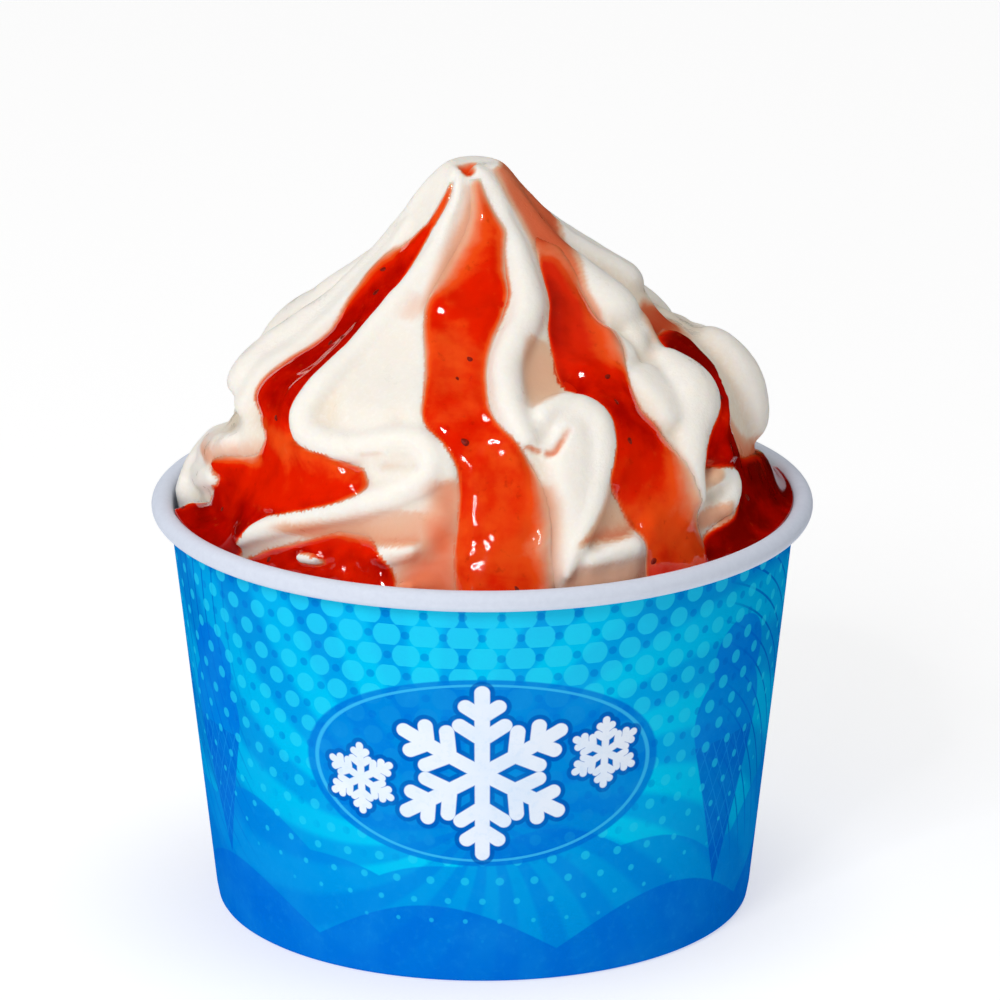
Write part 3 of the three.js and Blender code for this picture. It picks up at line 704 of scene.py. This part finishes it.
# Thin smears: how far their edges fade, how brown (partly painted shade), then height, left and right
# edge, strength
FILMS = [
    (1.6, 0.12, [(109.6, -12, 10, 0.14), (107, -10, 9, 0.2), (104, -16, 3, 0.22), (101, -23, -8, 0.22),
        (98, -28, -16, 0.22), (95.5, -31, -24, 0.18), (93.6, -34, -26, 0.06)]),
    (2, 0.2, [(96.6, -37, -27, 0.06), (95, -38, -26, 0.1), (93, -40, -28, 0.06)]),
    (1.6, 0.7, [(111, 46, 128, 0.4), (108, 46, 122, 0.44), (105, 50, 112, 0.46), (102.5, 48, 106, 0.48),
        (101, 45, 90, 0.48), (100, 42, 78, 0.46), (98.6, 37, 62, 0.44), (96.5, 31, 50, 0.5),
        (94.5, 26, 45, 0.45), (92, 23, 40, 0.3), (88.6, 22, 38, 0.1)]),
    # Painted shade in part: this tan smear stands for the shaded recess right of the middle fold, the next
    # for the recess by the hook
    (1, 1, [(92.4, 13, 21, 0.19), (90, 9.8, 22, 0.24), (88, 9.6, 22, 0.23), (86.6, 10, 20, 0.2),
        (84.6, 10.4, 12, 0.14)]),
    (0.7, 1, [(74.4, 25, 27.5, 0.1), (72, 24, 28.5, 0.14), (70, 22.6, 30, 0.18), (68, 21, 31.6, 0.24),
        (66.8, 19.4, 32, 0.32), (65.4, 18, 27, 0.3)]),
    (0.9, 0.5, [(63.6, 18, 34.5, 0.08), (62, 16.6, 35, 0.16), (59, 15, 35, 0.2)]),
    (1.6, 0, [(75, 7, 12.6, 0.2), (72, 7, 14.4, 0.2), (68, 7.4, 15.2, 0.18), (64, 8, 15.2, 0.16),
        (58, 8.5, 15, 0.2)]),
    (3, 0, [(76, -10, -5, 0.08), (74, -11.6, -5, 0.22), (71.6, -12, -5, 0.22), (69.6, -14, -5, 0.25),
        (67.2, -12.4, -5, 0.34), (65.6, -11.6, -5, 0.36), (63.4, -15.6, -4, 0.32),
        (58, -18, -3.6, 0.34)]),
    (1.4, 0.5, [(71.4, -17, -9.6, 0.12), (69.8, -25, -9, 0.15), (68, -33, -12, 0.18),
        (66.4, -41, -13, 0.26), (64.6, -47, -38, 0.2)]),
    (2, 0, [(76.4, -60, -57, 0.08), (74, -66, -58, 0.13), (72, -74, -60, 0.16), (70.4, -84, -62, 0.17),
        (68, -98, -72, 0.2)]),
    (2.6, 0.7, [(92.8, 74, 88, 0.26), (91.4, 67, 93, 0.44), (89.8, 65, 98, 0.52), (88, 78, 94, 0.36),
        (86.6, 80, 86, 0.14)]),
    (1.4, 0.4, [(84, 72, 76, 0.2), (78, 68, 72, 0.24), (74, 68, 75, 0.26), (71, 70, 84, 0.3),
        (69, 74, 98, 0.4), (66, 80, 108, 0.5)]),
    (1, 1, [(73.6, 50, 55, 0.3), (71, 50, 56, 0.24), (69, 51, 54, 0.12)]),
    (1, 0.5, [(67.4, 50, 58, 0.18), (64, 47, 58, 0.28)]),
]


def spans(bearing, along, table):
    """Distances inside the left, right, upper and lower edge of a table, and the rest of its row."""
    table = flowing(table, 0.4)
    table = table[np.concatenate([[True], np.diff(np.minimum.accumulate(table[:, 0])) < 0])]
    row = [np.interp(-crest[:, 2], -table[:, 0], column) for column in table.T]
    edges = []
    for edge, side in ((row[1], 1), (row[2], -1)):
        lean = np.gradient(np.radians(edge), crest_long / (len(crest) - 1)) * crest[:, 0]
        lean = np.sqrt(1 + np.minimum(lean * lean, 25))
        edge, reach = (np.interp(along, crest_at, v) for v in (edge, np.radians(crest[:, 0]) / lean))
        edges.append((bearing - edge) * side * reach)
    edges.append((along - along_at(table[0, 0])) * crest_long)
    edges.append((along_at(table[-1, 0]) - along) * crest_long)
    return edges, [np.interp(along, crest_at, column) for column in row[3:]]


def sauce_on(bearing, along):
    """How far inside the sauce, how dark, how brown (partly painted shade) and how thick it is, at places
    on the pile.
    """
    inside = np.full(len(bearing), -9.0)
    dark, brown, thick = np.zeros((3, len(bearing)))
    for run in SAUCE_RUNS:
        (left, right, top, _), (fade_left, fade_right, rich, swell) = spans(bearing, along, run)
        full = ease(left / fade_left * 0.8 + 0.2) * ease(right / fade_right * 0.8 + 0.2)
        full *= ease(top / 2 + 0.2)
        within = np.minimum(np.minimum(left, right), top)
        thick = np.where(within > inside, swell, thick)
        inside = np.maximum(inside, within)
        dark = np.maximum(dark, full * rich)
    for spot, height, wide, tall in ISLANDS:
        across = (bearing - spot) * np.radians(np.interp(along, crest_at, crest[:, 0]))
        up = (along - along_at(height)) * crest_long
        clear = np.hypot(across / wide, up / tall) - 1
        inside = np.minimum(inside, clear * tall)
        dark = dark * ease(clear * 1.5 + 0.3)
    dark = dark * ease(inside + 1)
    for fade, tan_and_shade, table in FILMS:
        (left, right, top, foot), (strength,) = spans(bearing, along, table)
        film = strength * ease(left / fade * 0.5 + 0.5) * ease(right / fade * 0.5 + 0.5)
        film *= ease(top / 1.5 + 0.3) * ease(foot / 1.5 + 0.3)
        brown = (brown * dark + tan_and_shade * film) / np.maximum(dark + film, 1e-6)
        dark = np.maximum(dark, film)
    return inside, dark, brown, thick


def laid(places):
    """Bearing of each place on the pile, how far along the crest form it lies, and how deep."""
    shift = np.interp(-places[:, 2], -crest[:, 2], crest[:, 1])
    bearing = np.degrees(np.arctan2(places[:, 0] - shift, -places[:, 1]))
    radius = np.hypot(places[:, 0] - shift, places[:, 1])
    far, at = np.full(len(places), 1e9), np.zeros(len(places), int)
    for index in range(0, len(crest), 4):
        gap = np.hypot(crest[index, 0] - radius, crest[index, 2] - places[:, 2])
        closer = gap < far
        far[closer], at[closer] = gap[closer], index
    return bearing, crest_at[at], far


def soaked(dark, brown, under):
    """The colour of sauce by how dark and brown it is, over a ground that shows where it is thin; the
    amber is partly painted shade.
    """
    red = dark.step(0.0, 0.2).mix(under, srgb(228, 170, 140))
    red = dark.step(0.12, 0.4).mix(red, srgb(234, 120, 78))
    red = dark.step(0.32, 0.62).mix(red, srgb(236, 76, 20))
    red = dark.step(0.6, 1.0).mix(red, srgb(224, 28, 0))
    red = dark.step(1.0, 1.8).mix(red, srgb(180, 8, 0))
    red = dark.step(1.6, 2.4).mix(red, srgb(124, 4, 0))
    # Painted shade in part: the amber colours, greyer and darker than the reds, also stand for shaded
    # recesses
    amber_and_shade = dark.step(0.0, 0.22).mix(under, srgb(219, 180, 150))
    amber_and_shade = dark.step(0.2, 0.4).mix(amber_and_shade, srgb(204, 112, 76))
    amber_and_shade = dark.step(0.36, 0.6).mix(amber_and_shade, srgb(186, 66, 36))
    return brown.mix(red, amber_and_shade)


# Where the ice cream lies under sauce, soaked beside it, or deep in a hollow, where it gets painted shade
SHADED_HOLLOW_FULL = 4
cream_bearing, cream_along, cream_deep = laid(places_of(ice_cream.data))
_, cream_dark, cream_brown, _ = sauce_on(cream_bearing, cream_along)
cream_stain = np.maximum(np.clip(cream_dark, 0, 1), pinch)
cream_stain[cream_places[:, 2] < FILL_TOP] = 0
cream_hollow = np.clip(cream_deep / SHADED_HOLLOW_FULL, 0, 1)
mark(ice_cream.data, "POINT", stain=cream_stain, brown=cream_brown, hollow=cream_hollow)

cream, place = new_material("vanilla_ice_cream")
hollow = place.attribute("hollow")
stain = place.attribute("stain")
frost = place.cloud(1500, 3, 0.6)
lumps = place.cloud(420, 3)
drift = place.cloud(60, 2)
melt = place.cloud(240, 2).step(0.56, 0.66)
# Painted shade: the deeper in a hollow, the darker and warmer the cream's colour
colour = (hollow + drift * 0.4 - 0.2).step(0.15, 0.9).mix(srgb(236, 231, 223), srgb(231, 216, 195))
colour = (frost.step(0.45, 0.7) * 0.3).mix(colour, srgb(242, 239, 233))
colour = soaked(stain * (0.75 + drift * 0.5), place.attribute("brown"), colour)
wet = (stain * 0.35).at_least(melt * 0.3)
grain = (frost * 0.09 + lumps * 0.06) * (1.15 - hollow)
surface(place, Base_Color=colour, Roughness=0.62 - wet - frost * 0.1, Normal=grain.bump(0.9), IOR=1.35,
        Subsurface_Weight=0.45, Subsurface_Radius=(1.0, 0.7, 0.45), Subsurface_Scale=0.003)
ice_cream.data.materials.append(cream)
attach(ice_cream, "root")
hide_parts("ice_cream")

# Sauce
# Strawberry sauce poured over the tip: clear red syrup run down the valleys and pooled at
# the rim, level in the hollows, thin and pink at its edges, with a wet shine.
SHEET = (600, 170)
SHEET_MIDDLE, SHEET_HALF = 0.51, 0.49
CREAM_START, CREAM_REACH, CREAM_NONE = 4, 12, -6.0
SAUCE_FILM = 0.25
# How far inside its edge the sauce has its full film, level, swell and lumps
FILM_FULL, LEVEL_FULL, SWELL_FULL, LUMPS_FULL = 0.8, 0.9, 2.4, 2.5
# Outside its edge the sheet dives under the ice cream
DIVE_SLOPE, DIVE_DEEP = 2.2, 1.6
LEVEL_ROUNDS = 160
LUMPS = ((5, 0.3), (2.2, 0.14))
SAUCE_BURIED = -0.5
SAUCE_FOOT = 57.5
SAUCE_DEEP = 2.6
# Ripples that catch the light: bearing, height and size, and the two ways that they may face
RIPPLES = [
    (-20.5, 94.7, 2.4), (10.3, 96.6, 2), (0.3, 84.2, 2), (-1.5, 63.8, 3), (11.5, 67.5, 2.2),
    (8.6, 72, 1.4), (27, 88, 2.2), (34, 67.2, 2), (-31.5, 74.8, 1.8), (-21.3, 64.5, 1.6),
    (-27.8, 62, 1.6), (57, 74, 1.6),
]
RIPPLE_FACING = ((-0.162, -0.872, 0.462), (-0.108, -0.956, 0.274))
RIPPLE_STEEPEST = 0.9
# Pools against the cup: bearings of their ends, and the height of their shore
POOLS = ((-90, -54, 63.5), (51, 120, 69))
POOL_LEVEL = 60.9
POOL_GAP, POOL_TUCK = 0.05, 62

# A grid wrapped once round the pile, from near the tip down to the rim
bpy.ops.object.select_all(action="DESELECT")
bpy.ops.mesh.primitive_grid_add(x_subdivisions=SHEET[0], y_subdivisions=SHEET[1], size=2)
sauce = bpy.context.object
sauce.name = "strawberry_sauce"
sheet = places_of(sauce.data) * MM
sheet_bearing = sheet[:, 0] * 180
sheet_along = SHEET_MIDDLE - sheet[:, 1] * SHEET_HALF
sheet_places, sheet_out = on_pile(sheet_bearing, sheet_along)
inside, dark, brown, thick = sauce_on(sheet_bearing, sheet_along)

# The ice cream's depth under the crest form, then a skin drawn level across it like liquid
cream_tree = tree_of(ice_cream.data)
cream_rise = np.full(len(sheet_places), CREAM_NONE)
for index, (spot, out) in enumerate(zip(sheet_places, sheet_out)):
    hit = cream_tree.ray_cast(Vector(spot + out * CREAM_START) * MM, Vector(-out), CREAM_REACH * MM)
    if hit[3] is not None:
        cream_rise[index] = CREAM_START - hit[3] / MM
wide = (SHEET[1] + 1, SHEET[0] + 1)
least = (cream_rise + SAUCE_FILM * ease(inside / FILM_FULL)).reshape(wide)
level = least.copy()
wet = inside.reshape(wide) > 0
for _ in range(LEVEL_ROUNDS):
    spread = (np.roll(level, 1, 1) + np.roll(level, -1, 1)) / 4
    spread[1:-1] += (level[:-2] + level[2:]) / 4
    spread[0] += level[1] / 2
    spread[-1] += level[-2] / 2
    level = np.where(wet, np.maximum(least, spread), least)
sauce_rise = (least + (level - least) * ease(inside / LEVEL_FULL).reshape(wide)).ravel()
sauce_rise += thick * ease(inside / SWELL_FULL)
dive = np.maximum(inside * DIVE_SLOPE, -DIVE_DEEP)
sauce_rise = np.where(inside > 0, sauce_rise, cream_rise + dive)
for lump, tall in LUMPS:
    lumpy = np.array([noise.noise(Vector(spot) / lump) for spot in sheet_places])
    sauce_rise += lumpy * tall * ease(inside / LUMPS_FULL)
sheet_places += sheet_out * sauce_rise[:, None]

# Each ripple tilts the sauce to face one of the two ways, whichever is the gentler
sheet_radius = np.interp(sheet_along, crest_at, crest[:, 0])
sheet_grid = sheet_places.reshape(wide + (3,))
sideways = np.gradient(sheet_grid, axis=1).reshape(-1, 3)
sideways /= (math.tau / SHEET[0] * sheet_radius)[:, None]
downwards = -np.gradient(sheet_grid, axis=0).reshape(-1, 3)
downwards /= 2 * SHEET_HALF / SHEET[1] * crest_long
for spot, height, size in RIPPLES:
    across = (sheet_bearing - spot) * np.radians(sheet_radius)
    down = (sheet_along - along_at(height)) * crest_long
    far = np.hypot(across, down)
    at = far.argmin()
    tilts = []
    for face in RIPPLE_FACING:
        tilt = np.array((np.dot(face, sideways[at]), np.dot(face, downwards[at])))
        tilts.append(np.clip(-tilt / np.dot(face, sheet_out[at]), -RIPPLE_STEEPEST, RIPPLE_STEEPEST))
    slope_across, slope_down = min(tilts, key=np.linalg.norm)
    ripple = (slope_across * across + slope_down * down) * np.exp(-(far / size) ** 2)
    sheet_places += sheet_out * (ripple * ease(inside / FILM_FULL))[:, None]

# Against the cup a pool lies nearly level
around = np.linalg.norm(sheet_places[:, :2], axis=1)
for start, end, shore in POOLS:
    shore_along = along_at(shore)
    out_to_wall = np.clip((sheet_along - shore_along) / (1 - shore_along), 0, 1)
    shore_radius = np.interp(shore_along, crest_at, crest[:, 0]) - 1
    level_radius = shore_radius + (wall_inside(POOL_LEVEL) - POOL_GAP - shore_radius) * out_to_wall
    level_height = shore - (shore - POOL_LEVEL) * (1 - (1 - out_to_wall) ** 2)
    within = ease((sheet_bearing - start) / 10) * ease((end - sheet_bearing) / 14)
    within *= ease(out_to_wall * 2.5)
    sheet_places[:, :2] *= (1 + (level_radius / around - 1) * within)[:, None]
    sheet_places[:, 2] += (level_height - sheet_places[:, 2]) * within
tuck_in(sheet_places, POOL_GAP, POOL_TUCK)
put_places(sauce.data, sheet_places)
mark(sauce.data, "POINT", dark=dark, brown=brown)

# The sheet faces out, and only what shows of it is kept and given its thickness
bpy.ops.object.mode_set(mode="EDIT")
bpy.ops.mesh.select_all(action="SELECT")
bpy.ops.mesh.normals_make_consistent(inside=False)
bpy.ops.mesh.select_all(action="DESELECT")
bpy.ops.object.mode_set(mode="OBJECT")
pile_middle = Vector((0, 0, POOL_LEVEL)) * MM
if sum(p.normal.dot(p.center - pile_middle) for p in sauce.data.polygons) < 0:
    sauce.data.flip_normals()
hidden = (inside < SAUCE_BURIED) | (sheet_places[:, 2] < SAUCE_FOOT)
corners = np.empty(len(sauce.data.polygons) * 4, int)
sauce.data.polygons.foreach_get("vertices", corners)
sauce.data.polygons.foreach_set("select", hidden[corners.reshape(-1, 4)].all(axis=1))
sauce.data.update()
bpy.ops.object.mode_set(mode="EDIT")
bpy.ops.mesh.select_mode(type="FACE")
bpy.ops.mesh.delete(type="FACE")
bpy.ops.object.mode_set(mode="OBJECT")
apply_modifier(sauce, "SOLIDIFY", thickness=SAUCE_DEEP * MM, offset=-1)
bpy.ops.object.shade_smooth()

syrup, place = new_material("strawberry_syrup")
rich = place.attribute("dark")
pulp = place.cloud(260, 4, 0.6)
fleck = place.cloud(700, 3, 0.6)
swirl = place.cloud(90, 3, distortion=0.8)
colour = soaked(rich * (pulp * 0.7 + swirl * 1.3), place.attribute("brown"), srgb(234, 224, 212))
colour = (fleck.step(0.6, 0.8) * 0.16 * rich.step(0.3, 0.6)).mix(colour, srgb(240, 96, 40))
colour = (fleck.step(0.4, 0.24) * 0.3 * rich.step(0.3, 0.6)).mix(colour, srgb(150, 8, 0))
relief = pulp * 0.1 + fleck * 0.02
surface(place, Base_Color=colour, Roughness=0.04 + fleck * 0.05, Normal=relief.bump(0.35), IOR=1.42,
        Specular_IOR_Level=1, Subsurface_Weight=0.3, Subsurface_Radius=(1.0, 0.12, 0.03),
        Subsurface_Scale=0.0025)
sauce.data.materials.append(syrup)
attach(sauce, "root")
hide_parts(*[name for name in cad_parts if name.startswith("sauce")])

# Strawberry seeds
# Flat brown seeds of the fruit, drawn to a point at one end, that float in the sauce with
# most of each one sunk in it.
SEED_SIZE = (0.46, 0.7, 0.26)
SEED_TAPER = 0.35
SEED_SUNK = 0.17
SEED_CLEAR = 0.5
# Bearing and height of each seed
SEEDS = [
    (-7.3, 90.2), (-10, 88), (-4.5, 80.7), (7, 60.9), (-58, 95.2), (-64, 97.5), (-57, 89.8), (-61, 89),
    (-55, 79.2), (34, 87.3), (33, 84.8), (32.5, 79), (35, 62), (62, 81.8), (-80, 60), (-47, 61),
    (66, 66), (-66, 64), (152, 84), (150, 76), (226, 90), (229, 73), (154, 66),
]
random = np.random.default_rng(11)
bpy.ops.object.select_all(action="DESELECT")
bpy.ops.mesh.primitive_uv_sphere_add(segments=12, ring_count=8, radius=1)
seeds = bpy.context.object
seeds.name = "strawberry_seeds"
seed_form = places_of(seeds.data) * MM
seed_form[:, 0] *= 1 - SEED_TAPER * seed_form[:, 1]
seed_form *= SEED_SIZE
seed_faces = [list(face.vertices) for face in seeds.data.polygons]
open_sauce = np.flatnonzero(inside > SEED_CLEAR)
seed_places, seed_corners = [], []
for bearing, height in SEEDS:
    spot = on_pile(np.array(bearing), along_at(height))[0]
    index = open_sauce[np.linalg.norm(sheet_places[open_sauce] - spot, axis=1).argmin()]
    out = Vector(sheet_out[index])
    turned = out.to_track_quat("Z", "Y").to_matrix() @ Matrix.Rotation(random.uniform(0, math.tau), 3, "Z")
    size = random.uniform(0.8, 1.2)
    first = len(seed_form) * len(seed_places)
    seed_corners += [[first + corner for corner in face] for face in seed_faces]
    seed_at = sheet_places[index] - np.array(out) * SEED_SUNK
    seed_places.append(seed_form @ np.array(turned).T * size + seed_at)
seeds.data.clear_geometry()
seeds.data.from_pydata(np.vstack(seed_places) * MM, [], seed_corners)
bpy.ops.object.shade_smooth()
husk, place = new_material("seed_husk")
grain = place.cloud(2500, 3)
colour = grain.step(0.3, 0.7).mix(srgb(104, 10, 2), srgb(140, 26, 8))
surface(place, Base_Color=colour, Roughness=0.35 + grain * 0.2, Normal=(grain * 0.04).bump(0.5),
        Specular_IOR_Level=0.2)
seeds.data.materials.append(husk)
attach(seeds, "root")

# Stage
# Plain pale floor, broad soft light from the front left and above, and two rings of small
# lamps that show as the bright spots on the wet sauce. Nothing else is mirrored in it.
bpy.ops.object.select_all(action="DESELECT")
bpy.ops.mesh.primitive_plane_add(size=6)
floor = bpy.context.object
floor.name = "floor"
floor_stuff, place = new_material("floor")
surface(place, Base_Color=(0.55, 0.55, 0.55, 1), Roughness=0.9, Specular_IOR_Level=0.1,
        Emission_Color=(1, 1, 1, 1), Emission_Strength=0.56)
floor.data.materials.append(floor_stuff)
floor.visible_glossy = False

LIT = Vector((0, 0, 0.07))
LAMP_RINGS = (
    ("high", (-0.36, -0.85, 0.75), 0.12, 14, 0.28),
    ("low", (-0.25, -1.1, 0.35), 0.07, 8, 0.15),
)
RING_LAMP = 0.05


def facing(place):
    """The turn of a lamp there that shines on the sundae."""
    return (LIT - Vector(place)).to_track_quat("-Z", "Y")


def lamp(kind, name, place, power, size):
    """A light that shines from there onto the sundae; a sun's size is the angle it fills."""
    light = bpy.data.lights.new(name, kind)
    light.energy = power
    if kind == "SUN":
        light.angle = math.radians(size)
    else:
        light.shape, light.size = "DISK", size
    light_object = bpy.data.objects.new(name, light)
    bpy.context.collection.objects.link(light_object)
    light_object.location = place
    light_object.rotation_euler = facing(place).to_euler()
    light_object.visible_glossy = kind != "SUN"


lamp("SUN", "front_left", (-0.4, -0.95, 0.55), 0.4, 50)
lamp("SUN", "left", (-1, -0.35, 0.45), 0.55, 50)
lamp("SUN", "above", (0.06, 0.06, 1), 1.2, 35)
for name, centre, radius, count, power in LAMP_RINGS:
    for index in range(count):
        turn = math.tau * index / count
        spoke = facing(centre) @ Vector((math.cos(turn), math.sin(turn), 0))
        lamp("AREA", f"{name}_{index}", Vector(centre) + spoke * radius, power, RING_LAMP)
world = bpy.data.worlds.new("studio")
world.use_nodes = True
world.node_tree.nodes["Background"].inputs["Color"].default_value = (1, 1, 1, 1)
world.node_tree.nodes["Background"].inputs["Strength"].default_value = 0.18
bpy.context.scene.world = world
world.cycles_visibility.glossy = False

ELEVATION, DISTANCE, AIM = 17.7, 1.1, (0.0025, 0, 0.0599)
camera_data = bpy.data.cameras.new("camera")
camera_data.lens = 272.7
camera_data.sensor_width = 36
camera = bpy.data.objects.new("camera", camera_data)
bpy.context.collection.objects.link(camera)
tilt = math.radians(ELEVATION)
camera.location = (AIM[0], AIM[1] - DISTANCE * math.cos(tilt), AIM[2] + DISTANCE * math.sin(tilt))
camera.rotation_euler = (math.radians(90) - tilt, 0, 0)
bpy.context.scene.camera = camera
bpy.context.scene.view_settings.view_transform = "Standard"
